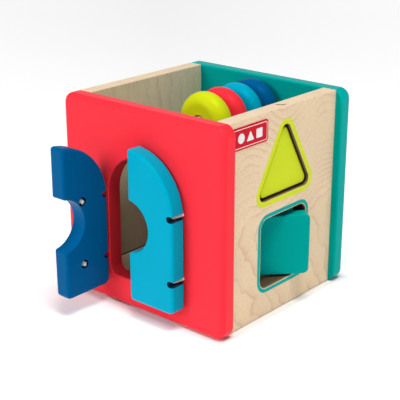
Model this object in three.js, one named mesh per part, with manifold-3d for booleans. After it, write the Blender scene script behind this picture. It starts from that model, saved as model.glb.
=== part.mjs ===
// A wooden shape sorter: an open-topped box with two doors hung on elastic cords, four thick
// discs that spin on a dowel, and two shape holes, each with its block. Millimetres, +Z up.
// The origin is the middle of the underside, and the doorway is in the panel on the -Y side.
import * as THREE from 'three';
import { mergeVertices } from 'three/addons/utils/BufferGeometryUtils.js';
import Module from 'manifold-3d';

const wasm = await Module();
wasm.setup();

// ---------------------------------------------------------------- driving dimensions

const runningGap = 0.3;
const chordLength = 2.5;

// Box: painted panels at front and rear, plain wooden panels at the sides, a floor between.
const boxWidth = 150;
const boxDepth = 144.5;
const boxHeight = 150;
const paintedThickness = 12;
const paintedCornerRadius = 8;
const outerEdgeRadius = 4;
const innerEdgeRadius = 1.5;
const sideInset = 5.25;
const sideThickness = 11.25;
const sideHeight = 149.75;
const floorThickness = 15.75;
const floorSideGap = 0.8;

// Doorway: straight sides, a half-round top and small bottom corners.
const doorwayHalfWidth = 31.25;
const doorwayBottom = 21.5;
const doorwayTop = 114.5;
const doorwayCornerRadius = 6;

// Doors, each half of an arched leaf with a half-round finger notch in its free edge.
const doorThickness = 12.5;
const doorGap = 0.75;
const doorFreeEdge = 1;
const doorHingeEdge = 41.75;
const doorBottom = 14.5;
const doorArchRadius = 42.5;
const doorArchCentreZ = 83;
const doorEdgeRadius = 2.2;
const doorFreeCornerRadius = 3.5;
const doorHingeCornerRadius = 4.5;
const notchRadius = 19.25;
const notchCentreZ = 69.75;

// Hinges: each cord leaves a hole in the panel, slants into a slot in the door's hinge edge and
// turns into the door at the slot's inner end, on the hinge axis.
const hingeHeights = { upper: 84, lower: 37.25 };
const hingeX = { left: -36, right: 37.05 };
const hingeInFromEdge = 4.7;
const slotHeight = 4.5;
const slotPastAxis = 0.5;
const panelHoleX = 39.5;
const panelHoleRise = 0.3;
const cordRadius = 1;
const cordHoleRadius = 1.4;
const knotRadius = 2.3;
const knotHoleRadius = 3.25;
const knotHoleDepth = 8.5;
const knotFromAxis = 19.3;
const counterboreDepth = 5.5;

// Discs on their dowel, pushed together against the rear panel.
const axleRadius = 5;
const axleHeight = 126.75;
const axleSocketDepth = 6.5;
const discRadius = 22;
const discThickness = 17.4;
const discRimRadius = 8.5;
const discHoleRadius = 6;
const discPitch = 17.85;
const discRearGap = 0.35;

// Shape holes in the right panel, given on the Y-Z plane.
const shapeHoleY = 0.75;
const triangleHole = { halfBase: 32, baseZ: 86.65, height: 55.4, radius: 5 };
const squareHole = { half: 26.1, centreZ: 47.25, radius: 7 };

// Blocks: the triangle stands in its hole, the square is turned and half way through its own.
const blockThickness = 10.25;
const blockEdgeRadius = 1.2;
const triangleBlock = { halfBase: 29, baseZ: 87.75, height: 50.2, radius: 4, y: 2.65, recess: 2.75 };
const squareBlock = { size: 45.75, radius: 4, x: 61.25, y: 5, baseZ: 22.75, turnDegrees: 48.6 };

// Pins hidden in the joints.
const pinRadius = 3;
const pinHoleRadius = 3.4;
const pinDepthPainted = 8;
const pinDepthWood = 20;
const sidePinHeights = [25, 75, 125];
const floorPinOffsets = [-35, 35];

// Label on the right panel, beside the front corner.
const label = { width: 38.5, height: 15.5, radius: 2.5, thickness: 0.5, startY: -59, bottomZ: 130 };

// Worked out from the dimensions above.
const paintedInnerY = boxDepth / 2 - paintedThickness;
const sideOuterX = boxWidth / 2 - sideInset;
const sideInnerX = sideOuterX - sideThickness;
const axisFromMiddle = doorHingeEdge - hingeInFromEdge;
const hingeY = -(boxDepth / 2 + doorGap + doorThickness / 2);

// ---------------------------------------------------------------- materials

function finish(color, roughness) {
  return new THREE.MeshStandardMaterial({ color, roughness, metalness: 0 });
}

const redPaint = finish(0xff3c46, 0.45);
const tealPaint = finish(0x00a59d, 0.45);
const cyanPaint = finish(0x00aed0, 0.45);
const bluePaint = finish(0x00487d, 0.45);
const limePaint = finish(0xd7e02d, 0.45);
const bareWood = finish(0xe6cdaa, 0.6);
const elasticCord = finish(0xb9bec3, 0.8);
const labelFilm = finish(0xd70023, 0.4);

// ---------------------------------------------------------------- shape and solid helpers

// An arc's points, a chordLength or less apart, and never fewer than three steps.
function arcPoints(x, y, radius, startAngle, endAngle, clockwise = false) {
  const curve = new THREE.EllipseCurve(x, y, radius, radius, startAngle, endAngle, clockwise);
  return curve.getPoints(Math.max(3, Math.ceil(curve.getLength() / chordLength)));
}

// A closed outline whose corners [x, y, radius] are rounded with arcs.
function roundedShape(corners) {
  const points = corners.map(([x, y]) => new THREE.Vector2(x, y));
  const outline = corners.flatMap(([, , radius], i) => {
    const corner = points[i];
    const back = points.at(i - 1).clone().sub(corner).normalize();
    const ahead = points[(i + 1) % points.length].clone().sub(corner).normalize();
    const halfAngle = Math.acos(back.dot(ahead)) / 2;
    const centre = back.clone().add(ahead).normalize();
    centre.multiplyScalar(radius / Math.sin(halfAngle)).add(corner);
    const tangentLength = radius / Math.tan(halfAngle);
    const from = corner.clone().addScaledVector(back, tangentLength).sub(centre);
    const to = corner.clone().addScaledVector(ahead, tangentLength).sub(centre);
    return arcPoints(centre.x, centre.y, radius, from.angle(), to.angle(), from.cross(to) < 0);
  });
  return new THREE.Shape(outline);
}

function rectangle(left, right, bottom, top, lowRadius, highRadius = lowRadius) {
  return roundedShape([
    [left, bottom, lowRadius],
    [right, bottom, lowRadius],
    [right, top, highRadius],
    [left, top, highRadius],
  ]);
}

function triangle({ halfBase, baseZ, height, radius }, centre) {
  return roundedShape([
    [centre - halfBase, baseZ, radius],
    [centre + halfBase, baseZ, radius],
    [centre, baseZ + height, radius],
  ]);
}

// A Manifold solid from a closed three.js geometry.
function solid(geometry) {
  const bare = geometry.clone();
  bare.deleteAttribute('normal');
  bare.deleteAttribute('uv');
  const merged = mergeVertices(bare, 1e-4);
  return new wasm.Manifold(new wasm.Mesh({
    numProp: 3,
    vertProperties: new Float32Array(merged.attributes.position.array),
    triVerts: new Uint32Array(merged.index.array),
  }));
}

function mesh(name, body, material) {
  const { vertProperties, triVerts } = body.getMesh();
  const geometry = new THREE.BufferGeometry();
  geometry.setAttribute('position', new THREE.BufferAttribute(vertProperties, 3));
  geometry.setIndex(new THREE.BufferAttribute(triVerts, 1));
  geometry.computeVertexNormals();
  const result = new THREE.Mesh(geometry, material);
  result.name = name;
  return result;
}

// An outline extruded from 0 to depth, with both ends' edges rounded by edgeRadius.
function extrusion(shape, depth, edgeRadius = 0) {
  const geometry = new THREE.ExtrudeGeometry(shape, {
    depth: depth - 2 * edgeRadius,
    bevelEnabled: edgeRadius > 0,
    bevelThickness: edgeRadius,
    bevelSize: edgeRadius,
    bevelOffset: -edgeRadius,
    bevelSegments: 2,
  });
  return geometry.translate(0, 0, edgeRadius);
}

// A plate on the X-Z plane: the outline's second axis stands up, and it fills yLow to yHigh.
function plateAlongY(shape, yLow, yHigh, edgeRadius = 0) {
  const turn = new THREE.Matrix4().makeBasis(
    new THREE.Vector3(1, 0, 0), new THREE.Vector3(0, 0, 1), new THREE.Vector3(0, -1, 0));
  const geometry = extrusion(shape, yHigh - yLow, edgeRadius).applyMatrix4(turn);
  return solid(geometry.translate(0, yHigh, 0));
}

// A plate on the Y-Z plane that fills xLow to xHigh.
function plateAlongX(shape, xLow, xHigh, edgeRadius = 0) {
  const turn = new THREE.Matrix4().makeBasis(
    new THREE.Vector3(0, 1, 0), new THREE.Vector3(0, 0, 1), new THREE.Vector3(1, 0, 0));
  const geometry = extrusion(shape, xHigh - xLow, edgeRadius).applyMatrix4(turn);
  return solid(geometry.translate(xLow, 0, 0));
}

function block(xLow, xHigh, yLow, yHigh, zLow, zHigh) {
  const geometry = new THREE.BoxGeometry(xHigh - xLow, yHigh - yLow, zHigh - zLow);
  return solid(geometry.translate((xLow + xHigh) / 2, (yLow + yHigh) / 2, (zLow + zHigh) / 2));
}

function rodAlongY(x, z, yLow, yHigh, radius, sides = 12) {
  const geometry = new THREE.CylinderGeometry(radius, radius, yHigh - yLow, sides);
  return solid(geometry.translate(x, (yLow + yHigh) / 2, z));
}

function rodAlongX(y, z, xLow, xHigh, radius, sides = 12) {
  const geometry = new THREE.CylinderGeometry(radius, radius, xHigh - xLow, sides);
  return solid(geometry.rotateZ(Math.PI / 2).translate((xLow + xHigh) / 2, y, z));
}

function ball(x, y, z, radius) {
  return solid(new THREE.SphereGeometry(radius, 8, 6).translate(x, y, z));
}

function cutAll(body, tools) {
  return tools.reduce((rest, tool) => rest.subtract(tool), body);
}

// ---------------------------------------------------------------- pins

// Every joint pin lies along Y at a painted panel's inner face, part in each piece.
const pinPlaces = [];
for (const end of ['front', 'rear']) {
  for (const side of ['left', 'right']) {
    sidePinHeights.forEach((z, i) => {
      const x = (side === 'left' ? -1 : 1) * (sideInnerX + sideThickness / 2);
      pinPlaces.push({ name: `${end}_${side}_pin_${i + 1}`, end, piece: side, x, z });
    });
  }
  floorPinOffsets.forEach((x, i) => {
    const z = floorThickness / 2;
    pinPlaces.push({ name: `${end}_floor_pin_${i + 1}`, end, piece: 'floor', x, z });
  });
}

// The stretch of Y that a pin or its hole takes, shortened by gap at both ends.
function pinSpan(end, gap) {
  const outer = paintedInnerY + pinDepthPainted - gap;
  const inner = paintedInnerY - pinDepthWood + gap;
  return end === 'rear' ? [inner, outer] : [-outer, -inner];
}

function pinHoles(wanted) {
  return pinPlaces.filter(wanted).map(({ x, z, end }) => {
    return rodAlongY(x, z, ...pinSpan(end, 0), pinHoleRadius);
  });
}

function pins() {
  return pinPlaces.map(({ name, x, z, end }) => {
    return mesh(name, rodAlongY(x, z, ...pinSpan(end, runningGap), pinRadius), bareWood);
  });
}

// ---------------------------------------------------------------- box panels

// A painted panel's blank: a large rounding on its outer face's edge, a small one inside.
function paintedBlank(outward) {
  const outline = () => rectangle(-boxWidth / 2, boxWidth / 2, 0, boxHeight, paintedCornerRadius);
  const spare = 2 * outerEdgeRadius;
  const outerY = outward * boxDepth / 2;
  const innerY = outward * paintedInnerY;
  const span = (a, b) => [Math.min(a, b), Math.max(a, b)];
  const pastInner = innerY - outward * spare;
  const pastOuter = outerY + outward * spare;
  const outerRounded = plateAlongY(outline(), ...span(outerY, pastInner), outerEdgeRadius);
  const innerRounded = plateAlongY(outline(), ...span(innerY, pastOuter), innerEdgeRadius);
  return outerRounded.intersect(innerRounded);
}

function axleSockets() {
  const end = paintedInnerY + axleSocketDepth;
  return rodAlongY(0, axleHeight, -end, end, axleRadius + runningGap, 24);
}

function doorwayCutter() {
  const outline = rectangle(-doorwayHalfWidth, doorwayHalfWidth, doorwayBottom, doorwayTop,
    doorwayCornerRadius, doorwayHalfWidth);
  return plateAlongY(outline, -boxDepth, -boxDepth / 4);
}

// Where each hinge cord goes through the front panel, with a wider pocket for its knot.
function panelCordHoles() {
  const tools = [];
  for (const x of [-panelHoleX, panelHoleX]) {
    for (const z of Object.values(hingeHeights).map((height) => height + panelHoleRise)) {
      tools.push(rodAlongY(x, z, -boxDepth, -boxDepth / 4, cordHoleRadius));
      tools.push(rodAlongY(x, z, -paintedInnerY - counterboreDepth, -boxDepth / 4, knotHoleRadius, 16));
    }
  }
  return tools;
}

function frontPanel() {
  const holes = [axleSockets(), ...panelCordHoles(), ...pinHoles((p) => p.end === 'front')];
  return mesh('front_panel', cutAll(paintedBlank(-1), [doorwayCutter(), ...holes]), redPaint);
}

function rearPanel() {
  const cutters = [axleSockets(), ...pinHoles((p) => p.end === 'rear')];
  return mesh('rear_panel', cutAll(paintedBlank(1), cutters), tealPaint);
}

function leftPanel() {
  const blank = block(-sideOuterX, -sideInnerX, -paintedInnerY, paintedInnerY, 0, sideHeight);
  return mesh('left_panel', cutAll(blank, pinHoles((p) => p.piece === 'left')), bareWood);
}

function squareHoleShape() {
  const { half, centreZ, radius } = squareHole;
  return rectangle(shapeHoleY - half, shapeHoleY + half, centreZ - half, centreZ + half, radius);
}

function rightPanel() {
  const blank = block(sideInnerX, sideOuterX, -paintedInnerY, paintedInnerY, 0, sideHeight);
  const holes = [triangle(triangleHole, shapeHoleY), squareHoleShape()].map((shape) => {
    return plateAlongX(shape, sideInnerX - sideThickness, sideOuterX + sideThickness);
  });
  const cutters = [...holes, ...pinHoles((p) => p.piece === 'right')];
  return mesh('right_panel', cutAll(blank, cutters), bareWood);
}

function floorPanel() {
  const half = sideInnerX - floorSideGap;
  const blank = block(-half, half, -paintedInnerY, paintedInnerY, 0, floorThickness);
  return mesh('floor_panel', cutAll(blank, pinHoles((p) => p.piece === 'floor')), bareWood);
}

function labelSticker() {
  const { width, height, radius, thickness, startY, bottomZ } = label;
  const outline = rectangle(startY, startY + width, bottomZ, bottomZ + height, radius);
  return mesh('label', plateAlongX(outline, sideOuterX, sideOuterX + thickness), labelFilm);
}

// ---------------------------------------------------------------- discs and their dowel

function axleDowel() {
  const end = paintedInnerY + axleSocketDepth - runningGap;
  return mesh('axle_dowel', rodAlongY(0, axleHeight, -end, end, axleRadius, 24), bareWood);
}

// A disc turned about its own Y axis, flat round its hole and with a full round rim.
function disc(name, material, place) {
  const half = discThickness / 2;
  const flatEnd = discRadius - discRimRadius;
  const profile = new THREE.Path();
  profile.moveTo(discHoleRadius, -half);
  profile.lineTo(flatEnd, -half);
  profile.absellipse(flatEnd, 0, discRimRadius, half, -Math.PI / 2, Math.PI / 2);
  profile.lineTo(discHoleRadius, half);
  profile.lineTo(discHoleRadius, -half);
  const result = mesh(name, solid(new THREE.LatheGeometry(profile.getPoints(4), 24)), material);
  result.position.set(0, paintedInnerY - discRearGap - half - place * discPitch, axleHeight);
  return result;
}

// ---------------------------------------------------------------- doors and hinge cords

// The door's outline on its own X-Z plane, with the hinge axis at x = 0 and the leaf reaching
// along +X when side is 1 and along -X when side is -1.
function doorOutline(side) {
  const freeEdge = axisFromMiddle - doorFreeEdge;
  const archCentreX = doorArchRadius - hingeInFromEdge;
  const archEnd = Math.acos((freeEdge - archCentreX) / doorArchRadius);
  const free = doorFreeCornerRadius;
  const hinge = doorHingeCornerRadius;
  const outline = [
    ...arcPoints(archCentreX, doorArchCentreZ, doorArchRadius, Math.PI, archEnd, true),
    ...arcPoints(freeEdge - free, doorBottom + free, free, 0, -Math.PI / 2, true),
    ...arcPoints(hinge - hingeInFromEdge, doorBottom + hinge, hinge, -Math.PI / 2, -Math.PI, true),
  ];
  return new THREE.Shape(outline.map(({ x, y }) => new THREE.Vector2(side * x, y)));
}

function slotCutter(side, z) {
  const outside = -2 * hingeInFromEdge;
  const [low, high] = [side * outside, side * slotPastAxis].sort((a, b) => a - b);
  const shape = rectangle(low, high, z - slotHeight / 2, z + slotHeight / 2, 0.99 * slotHeight / 2);
  return plateAlongY(shape, -doorThickness, doorThickness);
}

function rodFromAxis(side, z, near, far, radius, sides) {
  const [low, high] = [side * near, side * far].sort((a, b) => a - b);
  return rodAlongX(0, z, low, high, radius, sides);
}

// A door in its own frame: the face that closes against the panel is at +Y.
function door(name, side, material) {
  const half = doorThickness / 2;
  const edges = [side * -hingeInFromEdge, side * (axisFromMiddle - doorFreeEdge)].sort((a, b) => a - b);
  const section = rectangle(...edges, -half, half, doorEdgeRadius);
  const rounded = solid(extrusion(section, boxHeight));
  const blank = plateAlongY(doorOutline(side), -half, half).intersect(rounded);
  const notchX = side * axisFromMiddle;
  const cutters = [rodAlongY(notchX, notchCentreZ, -doorThickness, doorThickness, notchRadius, 48)];
  for (const z of Object.values(hingeHeights)) {
    cutters.push(slotCutter(side, z));
    cutters.push(rodFromAxis(side, z, -cordRadius, knotFromAxis, cordHoleRadius));
    const knotX = side * knotFromAxis;
    cutters.push(rodAlongY(knotX, z, half - knotHoleDepth, doorThickness, knotHoleRadius, 16));
  }
  return mesh(name, cutAll(blank, cutters), material);
}

// The stretch of a hinge cord inside the door: from beside the hinge axis to its knot.
function doorCord(name, side, z) {
  const run = rodFromAxis(side, z, cordRadius + runningGap, knotFromAxis, cordRadius, 8);
  const knot = ball(side * knotFromAxis, cordRadius, z, knotRadius);
  return mesh(name, run.add(knot), elasticCord);
}

// A round rod from one point to another.
function rodBetween(from, to, radius, sides) {
  const along = to.clone().sub(from);
  const geometry = new THREE.CylinderGeometry(radius, radius, along.length(), sides);
  geometry.applyQuaternion(new THREE.Quaternion().setFromUnitVectors(
    new THREE.Vector3(0, 1, 0), along.clone().normalize()));
  const middle = from.clone().add(to).divideScalar(2);
  return solid(geometry.translate(middle.x, middle.y, middle.z));
}

// The stretch held by the front panel: from its knot in the pocket, out of the hole in the
// panel, and at a slant to the hinge axis.
function panelCord(name, x, axisX, z) {
  const knot = new THREE.Vector3(x, -paintedInnerY - counterboreDepth / 2, z + panelHoleRise);
  const mouth = new THREE.Vector3(x, -boxDepth / 2, z + panelHoleRise);
  const axis = new THREE.Vector3(axisX, hingeY, z);
  const bendRadius = 1.05 * cordRadius;
  const pieces = [
    rodBetween(mouth, knot, cordRadius, 8),
    ball(...mouth, bendRadius),
    rodBetween(axis, mouth, cordRadius, 8),
    ball(...knot, knotRadius),
    ball(...axis, bendRadius),
  ];
  return mesh(name, pieces.reduce((whole, piece) => whole.add(piece)), elasticCord);
}

function doorGroup(hand, side, material, restAngle) {
  const group = new THREE.Group();
  group.add(door(`${hand}_door`, side, material));
  for (const [level, z] of Object.entries(hingeHeights)) {
    group.add(doorCord(`${hand}_${level}_cord_door_end`, side, z));
  }
  group.position.set(hingeX[hand], hingeY, 0);
  group.rotation.z = restAngle;
  return group;
}

function panelCords() {
  const cords = [];
  for (const [hand, x] of [['left', -panelHoleX], ['right', panelHoleX]]) {
    for (const [level, z] of Object.entries(hingeHeights)) {
      cords.push(panelCord(`${hand}_${level}_cord_panel_end`, x, hingeX[hand], z));
    }
  }
  return cords;
}

// ---------------------------------------------------------------- blocks

function triangularBlock() {
  const outline = triangle(triangleBlock, triangleBlock.y);
  const face = sideOuterX - triangleBlock.recess;
  const body = plateAlongX(outline, face - blockThickness, face, blockEdgeRadius);
  return mesh('triangle_block', body, limePaint);
}

function turnedSquareBlock() {
  const { size, radius, x, y, baseZ, turnDegrees } = squareBlock;
  const outline = rectangle(-size / 2, size / 2, baseZ, baseZ + size, radius);
  const body = plateAlongY(outline, -blockThickness / 2, blockThickness / 2, blockEdgeRadius);
  const result = mesh('square_block', body, tealPaint);
  result.position.set(x, y, 0);
  result.rotation.z = THREE.MathUtils.degToRad(turnDegrees);
  return result;
}

// ---------------------------------------------------------------- the whole toy

const shapeSorter = new THREE.Group();
shapeSorter.add(frontPanel(), rearPanel(), leftPanel(), rightPanel(), floorPanel());
shapeSorter.add(...pins(), labelSticker());
shapeSorter.add(axleDowel());
shapeSorter.add(disc('blue_disc', bluePaint, 0), disc('cyan_disc', cyanPaint, 1));
shapeSorter.add(disc('red_disc', redPaint, 2), disc('lime_disc', limePaint, 3));
shapeSorter.add(doorGroup('left', 1, bluePaint, -Math.PI / 2));
shapeSorter.add(doorGroup('right', -1, cyanPaint, 0));
shapeSorter.add(...panelCords());
shapeSorter.add(triangularBlock(), turnedSquareBlock());

export default shapeSorter;
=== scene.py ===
"""Looks of the wooden shape sorter: painted boards, bare wood, discs, doors on elastic cords, blocks.

Lengths of the object are millimetres in the frame's axes (+Z up, the doorway on the -Y side), and
are turned into metres where meshes are made. Lights and camera are placed in metres.
"""

import math

import bmesh
import bpy
from mathutils import Matrix, Vector
from mathutils.geometry import tessellate_polygon


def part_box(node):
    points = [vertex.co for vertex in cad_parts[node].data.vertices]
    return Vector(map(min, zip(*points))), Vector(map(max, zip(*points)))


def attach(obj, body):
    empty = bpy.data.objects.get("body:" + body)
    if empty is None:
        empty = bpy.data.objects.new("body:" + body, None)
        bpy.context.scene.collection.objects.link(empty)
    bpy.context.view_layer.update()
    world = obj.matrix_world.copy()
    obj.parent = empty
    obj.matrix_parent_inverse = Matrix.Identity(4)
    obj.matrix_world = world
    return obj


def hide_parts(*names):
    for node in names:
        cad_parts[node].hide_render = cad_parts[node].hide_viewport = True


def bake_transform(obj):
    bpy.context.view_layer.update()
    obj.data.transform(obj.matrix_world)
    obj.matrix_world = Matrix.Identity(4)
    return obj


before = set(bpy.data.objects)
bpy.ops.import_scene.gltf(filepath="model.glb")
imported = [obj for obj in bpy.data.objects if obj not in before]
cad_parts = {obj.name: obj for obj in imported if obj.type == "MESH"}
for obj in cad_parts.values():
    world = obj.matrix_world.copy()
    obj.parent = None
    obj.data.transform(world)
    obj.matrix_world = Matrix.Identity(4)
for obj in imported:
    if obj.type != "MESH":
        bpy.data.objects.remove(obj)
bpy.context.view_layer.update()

MM = 0.001

# ---------------------------------------------------------------- dimensions shared with the CAD

# Boards: the painted ones' corners and edges, the bare ones' edges, and the doorway.
PAINTED_CORNER = 8.0
OUTER_FILLET = 4.0
INNER_FILLET = 1.5
WOOD_FILLET = 0.5
DOORWAY_HALF = 31.25
DOORWAY_BOTTOM = 21.5
DOORWAY_TOP = 114.5
DOORWAY_CORNER = 6.0
DOORWAY_FILLET = 1.0

# Doors: a leaf's u runs from its hinge axis to its free edge, and its v up from the ground.
HINGE_X = {"left": -36.0, "right": 37.05}
HINGE_Y = -79.25
HINGE_HEIGHTS = (84.0, 37.25)
DOOR_HALF_THICKNESS = 6.25
DOOR_FREE_EDGE = 36.05
DOOR_HINGE_EDGE = -4.7
DOOR_BOTTOM = 14.5
DOOR_FILLET = 2.2
ARCH_RADIUS = 42.5
ARCH_CENTRE = (37.8, 83.0)
NOTCH_RADIUS = 19.25
NOTCH_CENTRE = (37.05, 69.75)
NOTCH_FILLET = 1.0
SLOT_HALF_HEIGHT = 2.25
SLOT_END = 0.3

# Cords: their holes in the panel stand a little above the slots, and they sag below the slots'
# middle. KNOT_RISE is from the leaf's middle towards its inner face.
PANEL_HOLE_X = 39.5
PANEL_HOLE_RISE = 0.3
PANEL_POCKET_DEPTH = 5.5
KNOT_FROM_AXIS = 19.3
KNOT_HOLE_RADIUS = 3.25
KNOT_HOLE_DEPTH = 8.5
KNOT_RISE = 3.2
CORD_RADIUS = 1.12
CORD_HOLE_RADIUS = 1.4
CORD_SAG = 0.8

# Discs on their dowel. DISC_RIM is how far the rounding of the rim reaches inwards.
DOWEL_HEIGHT = 126.75
DISC_HOLE_RADIUS = 6.0
DISC_RADIUS = 22.0
DISC_RIM = 8.5

# Shape holes in the right panel, and their blocks.
HOLE_Y = 0.75
SQUARE_HOLE_HALF = 26.1
SQUARE_HOLE_BOTTOM = 21.15
TRIANGLE_HOLE_HALF = 32.0
TRIANGLE_HOLE_BOTTOM = 86.65
TRIANGLE_HOLE_HEIGHT = 55.4
BLOCK_FILLET = 1.2
BLOCK_CORNER = 4.0
TRIANGLE_BLOCK_Y = 2.65
TRIANGLE_BLOCK_HALF = 29.0
TRIANGLE_BLOCK_BOTTOM = 87.75
TRIANGLE_BLOCK_HEIGHT = 50.2
SQUARE_BLOCK_SIZE = 45.75
SQUARE_BLOCK_HALF_THICKNESS = 5.125
SQUARE_BLOCK_PLACE = (61.25, 5.0, 0)
SQUARE_BLOCK_TURN = 48.6


# ---------------------------------------------------------------- where the CAD puts things

X, Y, Z = 0, 1, 2


def span(node, axis):
    """The lowest and highest coordinate of a CAD node along an axis, in millimetres."""
    low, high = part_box(node)
    return low[axis] / MM, high[axis] / MM


# ---------------------------------------------------------------- outlines
# An outline is a closed list of (u, v, front fillet, back fillet). The material is on its left.

def arc(centre, radius, start, end, front, back=None, front_end=None):
    """Points on an arc from start to end degrees; the fillet may change from front to front_end."""
    sweep = math.radians(end - start)
    longest_step = 1.0
    steps = max(6, math.ceil(abs(sweep) * radius / longest_step))
    points = []
    for i in range(steps + 1):
        share = i / steps
        angle = math.radians(start) + sweep * share
        fillet = front if front_end is None else front + (front_end - front) * share
        u = centre[0] + radius * math.cos(angle)
        v = centre[1] + radius * math.sin(angle)
        points.append((u, v, fillet, fillet if back is None else back))
    return points


def rounded(corners, front, back=None):
    """A counterclockwise outline through corners (u, v, radius), each rounded with an arc."""
    points = []
    for i, (u, v, radius) in enumerate(corners):
        corner = Vector((u, v))
        before = (Vector(corners[i - 1][:2]) - corner).normalized()
        after = (Vector(corners[(i + 1) % len(corners)][:2]) - corner).normalized()
        half_angle = math.acos(before.dot(after)) / 2
        centre = corner + (before + after).normalized() * (radius / math.sin(half_angle))
        reach = radius / math.tan(half_angle)
        first = corner + before * reach - centre
        last = corner + after * reach - centre
        start = math.degrees(math.atan2(first.y, first.x))
        end = math.degrees(math.atan2(last.y, last.x))
        if end < start:
            end += 360
        points += arc(centre, radius, start, end, front, back)
    return points


def rectangle(u_low, u_high, v_low, v_high, radius, front, back=None):
    corners = [(u_low, v_low, radius), (u_high, v_low, radius)]
    corners += [(u_high, v_high, radius), (u_low, v_high, radius)]
    return rounded(corners, front, back)


def triangle(middle, half_base, base, height, radius, front):
    corners = [(middle - half_base, base, radius), (middle + half_base, base, radius)]
    corners.append((middle, base + height, radius))
    return rounded(corners, front)


def circle(centre, radius, fillet):
    return arc(centre, radius, 0, 360, fillet)[:-1]


def as_hole(outline):
    """The same outline with the material outside it."""
    return outline[::-1]


def moved_in(outline, distances):
    """The (u, v) points of an outline, each moved into the material by its distance."""
    moved = []
    count = len(outline)
    for i in range(count):
        point = Vector(outline[i][:2])
        before = (point - Vector(outline[i - 1][:2])).normalized()
        after = (Vector(outline[(i + 1) % count][:2]) - point).normalized()
        along = (before + after).normalized()
        stretch = 1 / max(0.5, along.dot(after))
        moved.append(point + Vector((-along.y, along.x)) * distances[i] * stretch)
    return moved


def grown(outline, distance, fillet):
    """A closed outline a distance further out, for counterclockwise outlines."""
    points = moved_in(outline, [-distance] * len(outline))
    return [(p.x, p.y, fillet, fillet) for p in points]


# ---------------------------------------------------------------- meshes

def axes(u, v, w):
    """The matrix from (u, v, w) to the frame, from the three directions."""
    return Matrix((u, v, w)).transposed().to_4x4()


FACING = {
    "-Y": axes((1, 0, 0), (0, 0, 1), (0, -1, 0)),
    "+Y": axes((-1, 0, 0), (0, 0, 1), (0, 1, 0)),
    "+X": axes((0, 1, 0), (0, 0, 1), (1, 0, 0)),
    "-X": axes((0, -1, 0), (0, 0, 1), (-1, 0, 0)),
    "+Z": axes((1, 0, 0), (0, 1, 0), (0, 0, 1)),
}


def clean_outline(outline):
    """The outline without points that repeat the one before them."""
    kept = []
    for point in outline:
        if not kept or math.dist(point[:2], kept[-1][:2]) > 0.01:
            kept.append(point)
    if math.dist(kept[0][:2], kept[-1][:2]) < 0.01:
        kept.pop()
    return kept


def plate_mesh(name, loops, low, high, place, steps=6):
    """A plate from w = low to w = high: loops[0] is its edge and the others are its holes."""
    bm = bmesh.new()
    caps = {"front": [], "back": []}
    for outline in map(clean_outline, loops):
        levels = []
        for i in range(steps + 1):
            angle = math.pi / 2 * i / steps
            levels.append(("front", 1 - math.sin(angle), 1 - math.cos(angle)))
        for i in range(steps, -1, -1):
            angle = math.pi / 2 * i / steps
            levels.append(("back", 1 - math.sin(angle), 1 - math.cos(angle)))
        rings = []
        for side, inward, down in levels:
            fillets = [p[2] if side == "front" else p[3] for p in outline]
            points = moved_in(outline, [f * inward for f in fillets])
            ring = []
            for point, fillet in zip(points, fillets):
                w = high - fillet * down if side == "front" else low + fillet * down
                ring.append(bm.verts.new(place @ Vector((point.x, point.y, w)) * MM))
            rings.append((ring, points))
        count = len(outline)
        for (upper, _), (lower, _) in zip(rings, rings[1:]):
            for i in range(count):
                j = (i + 1) % count
                bm.faces.new((upper[i], lower[i], lower[j], upper[j]))
        caps["front"].append(rings[0])
        caps["back"].append(rings[-1])
    for side, rings in caps.items():
        verts = [vert for ring, _ in rings for vert in ring]
        flat = [point for _, points in rings for point in points]
        for a, b, c in tessellate_polygon([[(p.x, p.y, 0) for p in points] for _, points in rings]):
            turn = (flat[b] - flat[a]).cross(flat[c] - flat[a])
            if abs(turn) < 1e-9:
                continue
            order = (a, b, c) if (turn > 0) == (side == "front") else (a, c, b)
            bm.faces.new([verts[i] for i in order])
    bmesh.ops.remove_doubles(bm, verts=bm.verts, dist=1e-6)
    bmesh.ops.dissolve_degenerate(bm, edges=bm.edges, dist=1e-7)
    mesh = bpy.data.meshes.new(name)
    bm.to_mesh(mesh)
    bm.free()
    return mesh


def lathe_mesh(name, profile, centre, direction, segments=96):
    """A closed profile of (radius, distance along) turned about a line through centre."""
    bm = bmesh.new()
    turn = Vector((0, 0, 1)).rotation_difference(Vector(direction)).to_matrix()
    rings = []
    for radius, along in profile:
        ring = []
        for i in range(segments):
            angle = 2 * math.pi * i / segments
            point = Vector((radius * math.cos(angle), radius * math.sin(angle), along))
            ring.append(bm.verts.new((Vector(centre) + turn @ point) * MM))
        rings.append(ring)
    for k, ring in enumerate(rings):
        following = rings[(k + 1) % len(rings)]
        for i in range(segments):
            j = (i + 1) % segments
            bm.faces.new((ring[i], ring[j], following[j], following[i]))
    bmesh.ops.remove_doubles(bm, verts=bm.verts, dist=1e-7)
    bmesh.ops.dissolve_degenerate(bm, edges=bm.edges, dist=1e-8)
    bmesh.ops.recalc_face_normals(bm, faces=bm.faces)
    mesh = bpy.data.meshes.new(name)
    bm.to_mesh(mesh)
    bm.free()
    return mesh


def rod(name, start, direction, length, radius, segments=32):
    """A plain cutter rod from start along direction."""
    profile = [(0.0, 0.0), (radius, 0.0), (radius, length), (0.0, length)]
    return lathe_mesh(name, profile, start, direction, segments)


def smooth_path(points, per_span=4):
    """Catmull-Rom points through the given ones, which stay on the path."""
    points = [Vector(p) for p in points]
    ends = [2 * points[0] - points[1]] + points + [2 * points[-1] - points[-2]]
    path = []
    for i in range(1, len(ends) - 2):
        a, b, c, d = ends[i - 1:i + 3]
        for k in range(per_span):
            t = k / per_span
            path.append(0.5 * (2 * b + (c - a) * t + (2 * a - 5 * b + 4 * c - d) * t * t
                               + (3 * b - a - 3 * c + d) * t * t * t))
    path.append(points[-1])
    return path


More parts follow.
